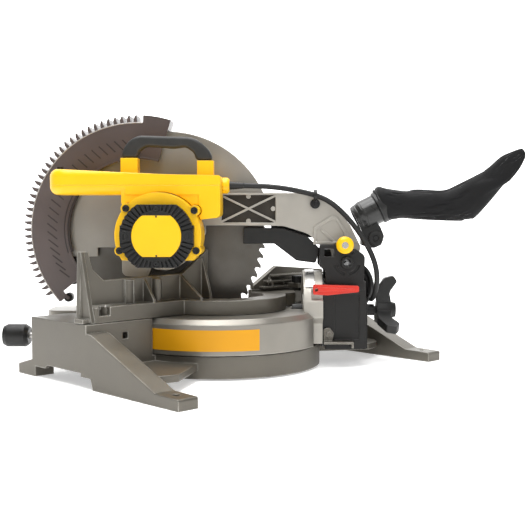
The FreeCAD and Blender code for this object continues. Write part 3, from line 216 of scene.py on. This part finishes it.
# Colour, roughness, metallic, uneven tone, size of its patches in metres, size of the grain, its depth,
# rounding seen at edges, colour of the edges' scuffs and painted highlight, how far the edges take it, and
# clear coat where there is one
FINISHES = {
    "cast_base": ((0.140, 0.129, 0.108), 0.38, 0.45, 0.12, 0.05, 0.0008, 0.00009, 0.0028, SCUFFED_AND_LIT_EDGE, 0.8),
    "cast_table": ((0.255, 0.240, 0.212), 0.34, 0.6, 0.10, 0.05, 0.0007, 0.00006, 0.0026, SCUFFED_AND_LIT_EDGE, 0.75),
    "cast_head": ((0.42, 0.40, 0.36), 0.42, 0.4, 0.08, 0.04, 0.0008, 0.00007, 0.0014,
                  (0.75, 0.74, 0.7), 0.5),
    "yellow_plastic": ((0.98, 0.56, 0.004), 0.38, 0.0, 0.03, 0.05, 0.0005, 0.00005, 0.0022,
                       (1.0, 0.68, 0.05), 0.3, 0.1),
    "black_plastic": ((0.012, 0.012, 0.0115), 0.40, 0.0, 0.18, 0.02, 0.0005, 0.00008, 0.0012,
                      (0.06, 0.06, 0.058), 0.6),
    "satin_plastic": ((0.016, 0.016, 0.015), 0.30, 0.0, 0.12, 0.03, 0.0006, 0.00003, 0.0010,
                      (0.05, 0.05, 0.05), 0.5, 0.3),
    "black_casting": ((0.011, 0.0105, 0.010), 0.44, 0.1, 0.18, 0.03, 0.0008, 0.00010, 0.0015,
                      (0.07, 0.07, 0.065), 0.6),
    "smoky_guard": ((0.092, 0.072, 0.068), 0.36, 0.0, 0.10, 0.06, 0.0009, 0.00003, 0.0006,
                    (0.30, 0.27, 0.26), 0.5, 0.3),
    "red_plastic": ((0.62, 0.022, 0.008), 0.35, 0.0, 0.06, 0.03, 0.0005, 0.00004, 0.0012,
                    (0.85, 0.22, 0.15), 0.4, 0.2),
    "red_insert": ((0.32, 0.03, 0.02), 0.45, 0.0, 0.12, 0.03, 0.0006, 0.00005, 0.0006,
                   (0.5, 0.2, 0.15), 0.6),
    # Light line along the swinging guard's outer edge: a painted highlight
    "guard_edge_highlight": ((0.40, 0.38, 0.36), 0.35, 0.2, 0.12, 0.03, 0.0006, 0.00003, 0.0005,
                   (0.5, 0.5, 0.48), 0.5),
    "guard_slots": ((0.036, 0.028, 0.026), 0.5, 0.0, 0.12, 0.03, 0.0008, 0.00003, 0.0004,
                    (0.07, 0.06, 0.055), 0.4),
    "dome_metal": ((0.33, 0.315, 0.285), 0.38, 0.6, 0.14, 0.09, 0.0009, 0.00007, 0.0020,
                   (0.72, 0.71, 0.67), 0.7),
    # Dark panel at the bottom of the arm's truss recess: painted shade
    "truss_shade": ((0.045, 0.040, 0.034), 0.6, 0.3, 0.25, 0.02, 0.0008, 0.00008, 0.0005,
                    (0.2, 0.19, 0.17), 0.4),
    "steel": ((0.55, 0.54, 0.52), 0.30, 0.95, 0.08, 0.02, 0.0004, 0.00002, 0.0005, (0.8, 0.8, 0.78), 0.4),
    "zinc_screws": ((0.34, 0.34, 0.34), 0.32, 0.9, 0.1, 0.01, 0.0004, 0.00002, 0.0004,
                    (0.7, 0.7, 0.7), 0.5),
    "label_orange": ((0.72, 0.33, 0.004), 0.42, 0.0, 0.03, 0.04, 0.001, 0.00001, 0.0003,
                     (0.95, 0.6, 0.2), 0.3),
    "grip_rubber": ((0.026, 0.026, 0.025), 0.5, 0.0, 0.15, 0.02, 0.0006, 0.00014, 0.003,
                    (0.08, 0.08, 0.078), 0.5),
    "cord_rubber": ((0.016, 0.016, 0.016), 0.5, 0.0, 0.15, 0.02, 0.0007, 0.00006, 0.0008,
                    (0.05, 0.05, 0.05), 0.4),
    "copper": ((0.62, 0.30, 0.14), 0.35, 0.9, 0.15, 0.01, 0.0005, 0.00010, 0.0005, (0.8, 0.5, 0.3), 0.5),
    "bronze": ((0.60, 0.42, 0.18), 0.38, 0.9, 0.1, 0.01, 0.0004, 0.00004, 0.0005, (0.8, 0.65, 0.35), 0.5),
}


def make_materials():
    """One finish for each material slot of the record, and those that only Blender adds."""
    made = {name: textured(name, *finish) for name, finish in FINISHES.items()}
    made["blade_steel"] = ground_steel("blade_steel", (0.135, 0.126, 0.112), "blade")
    made["bag_cloth"] = cloth("bag_cloth", (0.010, 0.010, 0.0105))
    return made


materials = make_materials()


# Nodes whose finish differs from most of their slot
REPAINTED = {
    "motor_screws": "black_plastic", "hinge_shaft": "black_plastic", "bevel_pivot_bolt": "black_casting",
    "upper_guard": "dome_metal",
}


def paint_nodes():
    """Gives every CAD node the finish of its material slot."""
    for part in frame["record"]["subparts"]:
        mesh = nodes[part["node"]].data
        mesh.materials.clear()
        mesh.materials.append(materials[REPAINTED.get(part["node"], part["material_slot"])])


# ---------------------------------------------------------------- softened castings

# How far, in millimetres, the edges of each moulded or cast node are rounded
ROUNDED_NODES = {
    "handle_lower_shell": 3.0, "handle_upper_shell": 3.0, "carry_grip": 5.0, "motor_housing": 1.2,
    "base_casting": 1.6, "arm_casting": 1.4, "turntable": 1.4, "bevel_column": 1.4,
    "upper_guard": 1.8, "fence_casting": 1.2, "gear_case": 1.5, "left_sliding_fence": 1.0,
    "bevel_clamp_knob": 2.0, "bevel_quadrant": 1.2, "bevel_stop_lever": 1.0, "dust_chute": 1.2,
    "dust_spout": 1.0,
}


def round_edges():
    """Rounds the hard edges of those nodes, as castings and mouldings have them."""
    for name, width in ROUNDED_NODES.items():
        node = nodes[name]
        weld = node.modifiers.new("weld", "WELD")
        weld.merge_threshold = 0.00002
        flat = node.modifiers.new("flat", "DECIMATE")
        flat.decimate_type = "DISSOLVE"
        flat.angle_limit = math.radians(2)
        bevel = node.modifiers.new("rounded", "BEVEL")
        bevel.width = width * MM
        bevel.segments = 3
        bevel.limit_method = "ANGLE"
        bevel.angle_limit = math.radians(35)
        bevel.use_clamp_overlap = True
        bevel.harden_normals = False
        normals = node.modifiers.new("normals", "WEIGHTED_NORMAL")
        normals.keep_sharp = False


# ---------------------------------------------------------------- mesh pieces

def mesh_piece(name, build, slot, body):
    """A mesh object filled in by build(bm), finished and riding on a body."""
    mesh = bpy.data.meshes.new(name)
    bm = bmesh.new()
    build(bm)
    bmesh.ops.recalc_face_normals(bm, faces=bm.faces)
    bm.to_mesh(mesh)
    bm.free()
    mesh.materials.append(materials[slot])
    piece = bpy.data.objects.new(name, mesh)
    bpy.context.scene.collection.objects.link(piece)
    if body:
        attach(piece, body)
    return piece


def smooth(piece):
    for polygon in piece.data.polygons:
        polygon.use_smooth = True
    return piece


def bridge(bm, rings, closed=False):
    """Quads between successive rings, and from the last back to the first when closed."""
    for first, second in zip(rings, rings[1:] + rings[:1] if closed else rings[1:]):
        for k in range(len(first)):
            j = (k + 1) % len(first)
            bm.faces.new((first[k], first[j], second[j], second[k]))


def close_rings(bm, rings):
    """A solid with these rings as its sections and a face over each end."""
    bridge(bm, rings)
    bm.faces.new(rings[0])
    bm.faces.new(rings[-1])


def add_slab(bm, outline, front, rear):
    """A flat plate with a (back, up) outline between two places across the head."""
    faces = [[bm.verts.new(head_point(across, *place)) for place in outline] for across in (front, rear)]
    close_rings(bm, faces)


def add_turned(bm, base, axis, side, profile, sides, closed):
    """A profile of (distance along the axis, radius) pairs turned about it. Millimetres in head axes."""
    other = axis.cross(side)
    turns = [2 * math.pi * k / sides for k in range(sides)]
    rings = []
    for distance, radius in profile:
        middle = base + axis * distance
        places = [middle + side * radius * math.cos(a) + other * radius * math.sin(a) for a in turns]
        rings.append([bm.verts.new(head_point(*place)) for place in places])
    bridge(bm, rings, closed)
    bmesh.ops.remove_doubles(bm, verts=bm.verts, dist=1e-6)


def add_bar(bm, start, end, across, width, height):
    """A thin bar with chamfered top edges from start to end; across is its width direction."""
    along = (end - start).normalized()
    side = across.normalized()
    up = along.cross(side).normalized()
    rings = []
    for point in (start, end):
        corners = [point - side * width / 2, point - side * width / 2 + up * height * 0.6,
                   point - side * width / 4 + up * height, point + side * width / 4 + up * height,
                   point + side * width / 2 + up * height * 0.6, point + side * width / 2]
        rings.append([bm.verts.new(c) for c in corners])
    close_rings(bm, rings)


# Centre (back, up) of the swinging guard's arc and where its outer face lies across the head
GUARD_CENTRE = (-124, 209)
GUARD_FACE = 20.95
SLOT_RADIUS = 132.5
SLOT_HALF_LENGTH = 9.5
SLOT_COUNT = 22
SLOT_STEP = 5.4


def guard_point(across, radius, degrees):
    """A point by its distance and direction from the centre of the guard's arc."""
    angle = math.radians(degrees)
    back, up = GUARD_CENTRE
    return head_point(across, back + radius * math.cos(angle), up + radius * math.sin(angle))


def guard_details():
    """Slanting slots on the swinging guard, a rim along its inner arc and a light tube painting a highlight
    along its outer edge.
    """
    def slots(bm):
        for i in range(SLOT_COUNT):
            middle = guard_point(GUARD_FACE, SLOT_RADIUS, 97 + SLOT_STEP * i)
            slant = math.radians(-44 + 0.35 * i)
            along = head_point(0, math.cos(slant), math.sin(slant)) * SLOT_HALF_LENGTH
            across = head_point(0, -math.sin(slant), math.cos(slant)).normalized()
            add_bar(bm, middle - along, middle + along, across, 2.0 * MM, 0.3 * MM)

    def rim(bm):
        section = ((20.9, 104.5), (21.7, 105.5), (21.7, 113.5), (20.9, 114.5))
        rings = []
        for k in range(41):
            degrees = 128 + 70 * k / 40
            rings.append([bm.verts.new(guard_point(across, radius, degrees)) for across, radius in section])
        close_rings(bm, rings)

    # Thin light tube along the guard's outer edge: a painted highlight
    def outer_edge_highlight(bm):
        add_tube(bm, [guard_point(20.6, 164.2, 87 + 135 * k / 96) for k in range(97)], 1.0 * MM, 8)

    mesh_piece("guard_ticks", slots, "guard_slots", "guard")
    mesh_piece("guard_inner_rim", rim, "guard_slots", "guard")
    smooth(mesh_piece("guard_edge_highlight", outer_edge_highlight, "guard_edge_highlight", "guard"))


# Distance of the scale's lines from the table's pivot
SCALE_RADIUS = 175.5


def scale_marks():
    """Degree lines on the table's scale plate, longer every five and ten degrees."""
    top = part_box("miter_scale_plate")[1][2]

    def build(bm):
        for degree in range(-50, 51):
            length = 11 if degree % 10 == 0 else 8 if degree % 5 == 0 else 5
            angle = math.radians(-90 + degree)
            out = Vector((math.cos(angle), math.sin(angle), 0))
            side = Vector((-out.y, out.x, 0))
            start = out * SCALE_RADIUS * MM + Vector((0, 0, top - 0.2 * MM))
            add_bar(bm, start, start + out * length * MM, side, 0.5 * MM, -0.35 * MM)

    mesh_piece("scale_marks", build, "black_plastic", "base")


# ---------------------------------------------------------------- power lead

CORD_DIAMETER = 8.0
# Route of the lead in the head's axes, from the handle's gland to where it joins the coil
CORD_ROUTE = [(46, 18.5, 276.6), (44, 52, 277), (38, 96, 274), (31, 132, 267), (30, 150.7, 262),
              (31, 170, 253.5), (33, 189, 237.5), (36, 208, 216), (39.5, 226, 189), (41.5, 239, 161),
              (41.5, 243, 134), (26, 240, 108.5), (-1.5, 237, 98.8), (-24, 241, 104), (-39, 244, 118)]
COIL_CENTRE = (-54, 205.2, 116)
COIL_RADII = (40.4, 32.3)
TURN_STEP = 9.0
COIL_START = 34
COIL_END = 1570
SHIFT_LENGTH = 60
# Angles, in degrees along the lead, at which it moves over to the next turn or to the other layer
SIDE_SHIFTS = ((560, -1), (920, -1), (1460, 1))
LAYER_SHIFTS = ((300, 1), (1160, -1))
# From the coil round to the plug's neck
COIL_TAIL = [(-60, 161, 128), (-68, 147, 105), (-76, 146.5, 82), (-82, 163.5, 66.5), (-84, 187, 68),
             (-84, 205, 86), (-84, 205.2, 101)]


def shifted(shifts, degrees):
    """How many places the lead has moved over by this angle."""
    return sum(way * min(1.0, max(0.0, (degrees - start) / SHIFT_LENGTH)) for start, way in shifts)


def coil_route():
    """Turns of the tied coil: most of an outer one, over two inner ones across it, then an outer one back."""
    across, back, up = COIL_CENTRE
    outer, inner = COIL_RADII
    points = []
    for degrees in range(COIL_START, COIL_END, 20):
        side = TURN_STEP * (1 + shifted(SIDE_SHIFTS, degrees))
        radius = outer + (inner - outer) * shifted(LAYER_SHIFTS, degrees)
        angle = math.radians(degrees)
        points.append((across + side, back + radius * math.cos(angle), up + radius * math.sin(angle)))
    return points


def read_centreline(points, name):
    """Points along a smooth curve that has these control points."""
    curve = bpy.data.curves.new(name, "CURVE")
    curve.dimensions = "3D"
    curve.resolution_u = 6
    spline = curve.splines.new("NURBS")
    spline.points.add(len(points) - 1)
    for target, point in zip(spline.points, points):
        target.co = (*point, 1)
    spline.order_u = 3
    spline.use_endpoint_u = True
    line = bpy.data.objects.new(name, curve)
    mesh = bpy.data.meshes.new_from_object(line)
    found = [v.co.copy() for v in mesh.vertices]
    bpy.data.objects.remove(line)
    bpy.data.curves.remove(curve)
    bpy.data.meshes.remove(mesh)
    return found


def add_tube(bm, path, radius, sides=14):
    """A closed tube of one radius, or of one for each point, along a path, with no twist."""
    radii = radius if isinstance(radius, list) else [radius] * len(path)
    last = len(path) - 1
    tangents = [(path[min(i + 1, last)] - path[max(i - 1, 0)]).normalized() for i in range(len(path))]
    side = tangents[0].orthogonal().normalized()
    rings = []
    for point, tangent, size in zip(path, tangents, radii):
        side = (side - tangent * side.dot(tangent)).normalized()
        other = tangent.cross(side)
        rings.append([bm.verts.new(point + (side * math.cos(a) + other * math.sin(a)) * size)
                      for a in [2 * math.pi * k / sides for k in range(sides)]])
    close_rings(bm, rings)


def power_cord():
    """The lead from the gland, down behind the column and round its tied coil to the plug."""
    control = [head_point(*p) for p in CORD_ROUTE + coil_route() + COIL_TAIL]
    path = read_centreline(control, "lead_line")
    radius = CORD_DIAMETER * MM / 2
    cord = smooth(mesh_piece("power_cord", lambda bm: add_tube(bm, path, radius), "cord_rubber", None))
    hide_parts("cord_arm", "cord_loop", "cord_coil")
    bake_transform(cord)


def strain_relief():
    """Tapered sleeve where the lead leaves the handle's gland."""
    path = [head_point(46 - 0.06 * step, 16 + step, 276.6) for step in range(0, 25, 2)]
    radii = [(6.6 - 2.2 * (i / (len(path) - 1)) - (0.35 if i % 2 else 0)) * MM for i in range(len(path))]
    smooth(mesh_piece("strain_relief", lambda bm: add_tube(bm, path, radii, 20), "cord_rubber", "head"))


# Half the size of a strap's loop round the turns, outwards from the coil's centre and across it
TIE_OUT = 9.0
TIE_ACROSS = 13.3


def coil_ties():
    """Two straps that hold the coil's turns together."""
    across, back, up = COIL_CENTRE
    middle = sum(COIL_RADII) / 2

    def build(bm):
        for angle in (math.radians(-20), math.radians(200)):
            loop = []
            for k in range(25):
                turn = 2 * math.pi * k / 24
                out = middle + TIE_OUT * math.cos(turn)
                loop.append(head_point(across + TIE_ACROSS * math.sin(turn), back + out * math.cos(angle),
                                       up + out * math.sin(angle)))
            add_tube(bm, loop, 1.5 * MM, 8)

    smooth(mesh_piece("coil_ties", build, "black_plastic", "column"))


# ---------------------------------------------------------------- dust bag

# Top and bottom (back, up) and half width of the bag's sections, from its mouth to its flat end
BAG_SECTIONS = [
    ((240, 270), (257.5, 227.5), 22.8), ((243.5, 275.5), (261, 224.5), 25.5),
    ((248, 277.5), (265, 223.8), 26), ((270, 273.5), (278, 227), 25),
    ((296, 270), (304, 223.8), 24), ((327, 268.4), (331, 222.8), 22.5),
    ((351, 266.1), (362, 221.3), 21), ((365, 273.5), (385, 221.2), 19.5),
    ((380, 281.5), (396, 223), 18), ((393, 288.3), (410, 238), 16),
    ((408, 299), (427, 257.5), 13.5), ((422, 310), (444, 279.2), 11),
    ((434.5, 323.9), (457, 296), 8.5), ((449, 330), (467, 309), 6),
    ((462, 335), (472, 321), 4), ((471.5, 338), (474.5, 327), 2),
]
BAG_SIDES = 28


def bag_shape(bm):
    """The bag's skin through its sections, each a rounded box."""
    rings = []
    for top, bottom, half_width in BAG_SECTIONS:
        high, low = Vector((0, *top)), Vector((0, *bottom))
        centre, rise = (high + low) / 2, (high - low) / 2
        ring = []
        for k in range(BAG_SIDES):
            turn = 2 * math.pi * k / BAG_SIDES
            sine, cosine = math.sin(turn), math.cos(turn)
            side = half_width * math.copysign(abs(cosine) ** 0.75, cosine)
            point = centre + rise * math.copysign(abs(sine) ** 0.85, sine)
            ring.append(bm.verts.new(head_point(side, point.y, point.z)))
        rings.append(ring)
    close_rings(bm, rings)


def dust_bag():
    """The cloth bag, wrinkled by a cloth run."""
    bag = mesh_piece("cloth_bag", bag_shape, "bag_cloth", None)
    sub = bag.modifiers.new("sub", "SUBSURF")
    sub.levels = sub.render_levels = 2
    crumple(bag)
    smooth(bag)
    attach(bag, "head")
    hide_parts("dust_bag")


def apply_modifiers(piece):
    """Replaces a piece's mesh with what its modifiers make of it."""
    evaluated = piece.evaluated_get(bpy.context.evaluated_depsgraph_get())
    mesh = bpy.data.meshes.new_from_object(evaluated)
    old = piece.data
    piece.modifiers.clear()
    piece.data = mesh
    bpy.data.meshes.remove(old)


# Farthest that the cloth run may move a point of the bag, in metres
INWARD_LIMIT = 0.0014
OUTWARD_LIMIT = 0.0035
# How far beyond the mouth the bag is held still, and for how many frames the cloth runs
HELD_DEPTH = 0.006
CLOTH_FRAMES = 20


def crumple(bag):
    """A short cloth run with light pressure that wrinkles the bag, its collar held still."""
    apply_modifiers(bag)
    before = [v.co.copy() for v in bag.data.vertices]
    collar = head_point(0, 259, 249)
    away = head_point(0, 20, 10).normalized()
    pinned = bag.vertex_groups.new(name="collar")
    pinned.add([v.index for v in bag.data.vertices if (v.co - collar).dot(away) < HELD_DEPTH], 1.0, "REPLACE")
    fabric = bag.modifiers.new("fabric", "CLOTH")
    fabric.settings.vertex_group_mass = "collar"
    fabric.settings.use_pressure = True
    fabric.settings.uniform_pressure_force = 4.0
    fabric.settings.tension_stiffness = 25
    fabric.settings.bending_stiffness = 0.15
    fabric.settings.shrink_min = -0.07
    fabric.settings.effector_weights.gravity = 0.0
    scene = bpy.context.scene
    for number in range(1, CLOTH_FRAMES + 1):
        scene.frame_set(number)
    apply_modifiers(bag)
    normals = [v.normal.copy() for v in bag.data.vertices]
    for vertex, old, normal in zip(bag.data.vertices, before, normals):
        moved = vertex.co - old
        limit = INWARD_LIMIT if moved.dot(normal) < 0 else OUTWARD_LIMIT
        if moved.length > limit:
            vertex.co = old + moved.normalized() * limit
    scene.frame_set(1)


def bag_trim():
    """Elastic hem where the bag grips the tube."""
    high, low = Vector((0, *BAG_SECTIONS[0][0])), Vector((0, *BAG_SECTIONS[0][1]))
    centre, rise = (high + low) / 2, (high - low) / 2

    def build(bm):
        loop = []
        for k in range(49):
            turn = 2 * math.pi * k / 48
            point = centre + rise * math.sin(turn) * 1.02
            loop.append(head_point(23.2 * math.cos(turn), point.y, point.z))
        add_tube(bm, loop, 1.1 * MM, 8)

    smooth(mesh_piece("bag_hem", build, "bag_cloth", "head"))


# ---------------------------------------------------------------- small hardware

# Motor's axis (back, up), on which the badge is centred
MOTOR_AXIS = (-80, 203)
# Screw lug under the dust spout (back, up)
LUG = (243, 196.6)
# Foot of the dust spout's axis and its direction
SPOUT_FOOT = Vector((0, 224, 231))
SPOUT_AXIS = Vector((0, math.cos(math.radians(27)), math.sin(math.radians(27))))
# Distance along the spout's axis and radius of the smooth tube over it
SLEEVE = ((-13, 17.8), (-13, 19.9), (-12.4, 20.4), (-8.4, 21.0), (-8.0, 21.5), (-6.6, 21.6), (-6.2, 21.4),
          (-0.5, 23.2), (2.0, 23.3), (2.4, 23.6), (3.6, 23.6), (4.0, 23.3), (24.0, 23.1), (24.4, 18.5),
          (24.0, 17.8))
BOSS_RING = ((0, 11.5), (2.4, 11.5), (3.0, 10.9), (3.0, 5.2), (0, 5.2))
SCREW_HEAD = ((0, 4.9), (4.4, 4.9), (5.0, 4.3), (5.0, 0.0))
ACROSS = Vector((1, 0, 0))


def hardware():
    """Boss and screw on the lug, tube round the spout, dust shroud, a dark panel painting the shade in the
    truss recess, and badge notches.
    """
    round_side = ACROSS.orthogonal().normalized()

    def boss(bm):
        add_turned(bm, Vector((12.5, *LUG)), ACROSS, round_side, BOSS_RING, 32, True)

    def screw(bm):
        add_turned(bm, Vector((9, *LUG)), ACROSS, round_side, SCREW_HEAD, 32, False)

    def sleeve(bm):
        add_turned(bm, SPOUT_FOOT, SPOUT_AXIS, ACROSS, SLEEVE, 56, True)

    def shroud(bm):
        add_slab(bm, [(80, 226), (118, 224), (144, 211), (150, 197), (82, 197)], -9, -11)
        for (back, up), (low_back, low_up) in (((90, 222), (92, 198)), ((119, 220), (118, 198))):
            start, end = head_point(-9, back, up), head_point(-9, low_back, low_up)
            add_bar(bm, start, end, head_point(0, up - low_up, low_back - back), 1.4 * MM, 1.0 * MM)

    # Thin dark panel at the bottom of the truss recess: painted shade where the open truss looks dark
    def truss(bm):
        add_slab(bm, [(4.6, 221), (87.4, 221), (87.4, 263), (4.6, 263)], 14.75, 14.65)

    def notches(bm):
        back, up = MOTOR_AXIS
        for way in (-1, 1):
            start = head_point(146.65, back, up + way * 28.8)
            end = head_point(146.65, back, up + way * 26.2)
            add_bar(bm, start, end, head_point(0, 1, 0), 2.4 * MM, 0.3 * MM)

    mesh_piece("lug_boss", boss, "black_plastic", "head")
    mesh_piece("lug_screw", screw, "black_plastic", "head")
    mesh_piece("spout_sleeve", sleeve, "satin_plastic", "head")
    mesh_piece("dust_shroud", shroud, "black_plastic", "head")
    mesh_piece("truss_shade", truss, "truss_shade", "head")
    mesh_piece("badge_notches", notches, "black_plastic", "head")


# ---------------------------------------------------------------- stage

# Where the camera stands, in metres, and the direction in which it looks
CAMERA_AT = Vector((0.9304, 1.0452, 0.2371))
CAMERA_YAW = math.radians(45.4)
CAMERA_DIP = math.radians(3.4)


def make_camera():
    data = bpy.data.cameras.new("camera")
    data.sensor_width = 36.0
    data.lens = 60.7
    camera = bpy.data.objects.new("camera", data)
    look = Vector((-math.cos(CAMERA_YAW) * math.cos(CAMERA_DIP), -math.sin(CAMERA_YAW) * math.cos(CAMERA_DIP),
                   -math.sin(CAMERA_DIP)))
    camera.location = CAMERA_AT
    camera.rotation_mode = "QUATERNION"
    camera.rotation_quaternion = look.to_track_quat("-Z", "Y")
    bpy.context.scene.collection.objects.link(camera)
    bpy.context.scene.camera = camera


# Place, width and power of each soft light, all aimed at the saw's middle
LIGHTS = {
    "top": ((-0.1, -0.2, 2.2), 1.8, 64), "key": ((0.9, 0.6, 2.3), 0.8, 24),
    "fill": ((1.0, 1.9, 1.5), 0.8, 11),
}
SAW_MIDDLE = Vector((0.0, 0.0, 0.15))


def area_light(name, place, width, power):
    data = bpy.data.lights.new(name, "AREA")
    data.shape = "RECTANGLE"
    data.size = data.size_y = width
    data.energy = power
    light = bpy.data.objects.new(name, data)
    light.location = place
    light.rotation_mode = "QUATERNION"
    light.rotation_quaternion = (SAW_MIDDLE - Vector(place)).to_track_quat("-Z", "Y")
    bpy.context.scene.collection.objects.link(light)


# Half width of the floor; how far behind the saw the backdrop stands, its half width and height
FLOOR_HALF = 7.0
BACKDROP_AWAY = 1.5
BACKDROP_HALF = 5.0
BACKDROP_HEIGHT = 4


def stage_plane(name, corners, material):
    mesh = bpy.data.meshes.new(name)
    mesh.from_pydata(corners, [], [(0, 1, 2, 3)])
    mesh.materials.append(material)
    plane = bpy.data.objects.new(name, mesh)
    bpy.context.scene.collection.objects.link(plane)


def make_stage():
    """White floor and a lit backdrop behind the saw, a dim surround and soft lights."""
    floor, tree, shader = new_material("studio_floor")
    tone = mixed(tree, noise(tree, 0.4), (0.88, 0.88, 0.875), (0.92, 0.92, 0.915))
    tree.links.new(tone, shader.inputs["Base Color"])
    shader.inputs["Roughness"].default_value = 0.8
    shader.inputs["Specular IOR Level"].default_value = 0.1
    shader.inputs["Emission Color"].default_value = (1.0, 1.0, 1.0, 1)
    shader.inputs["Emission Strength"].default_value = 0.45
    half = FLOOR_HALF
    stage_plane("floor", [(-half, -half, 0), (half, -half, 0), (half, half, 0), (-half, half, 0)], floor)
    backdrop, tree, shader = new_material("studio_backdrop")
    shader.inputs["Emission Color"].default_value = (1.0, 1.0, 1.0, 1)
    shader.inputs["Emission Strength"].default_value = 1.0
    near, far = -BACKDROP_AWAY - BACKDROP_HALF, -BACKDROP_AWAY + BACKDROP_HALF
    stage_plane("backdrop", [(near, far, 0), (far, near, 0), (far, near, BACKDROP_HEIGHT),
                             (near, far, BACKDROP_HEIGHT)], backdrop)
    world = bpy.data.worlds.new("studio")
    world.use_nodes = True
    background = world.node_tree.nodes["Background"]
    background.inputs["Color"].default_value = (1.0, 0.985, 0.96, 1)
    background.inputs["Strength"].default_value = 0.2
    bpy.context.scene.world = world
    bpy.context.scene.view_settings.view_transform = "Standard"
    for name, light in LIGHTS.items():
        area_light(name, *light)


# ---------------------------------------------------------------- scene

paint_nodes()
round_edges()
make_camera()
power_cord()
strain_relief()
coil_ties()
dust_bag()
bag_trim()
hardware()
guard_details()
scale_marks()
make_stage()
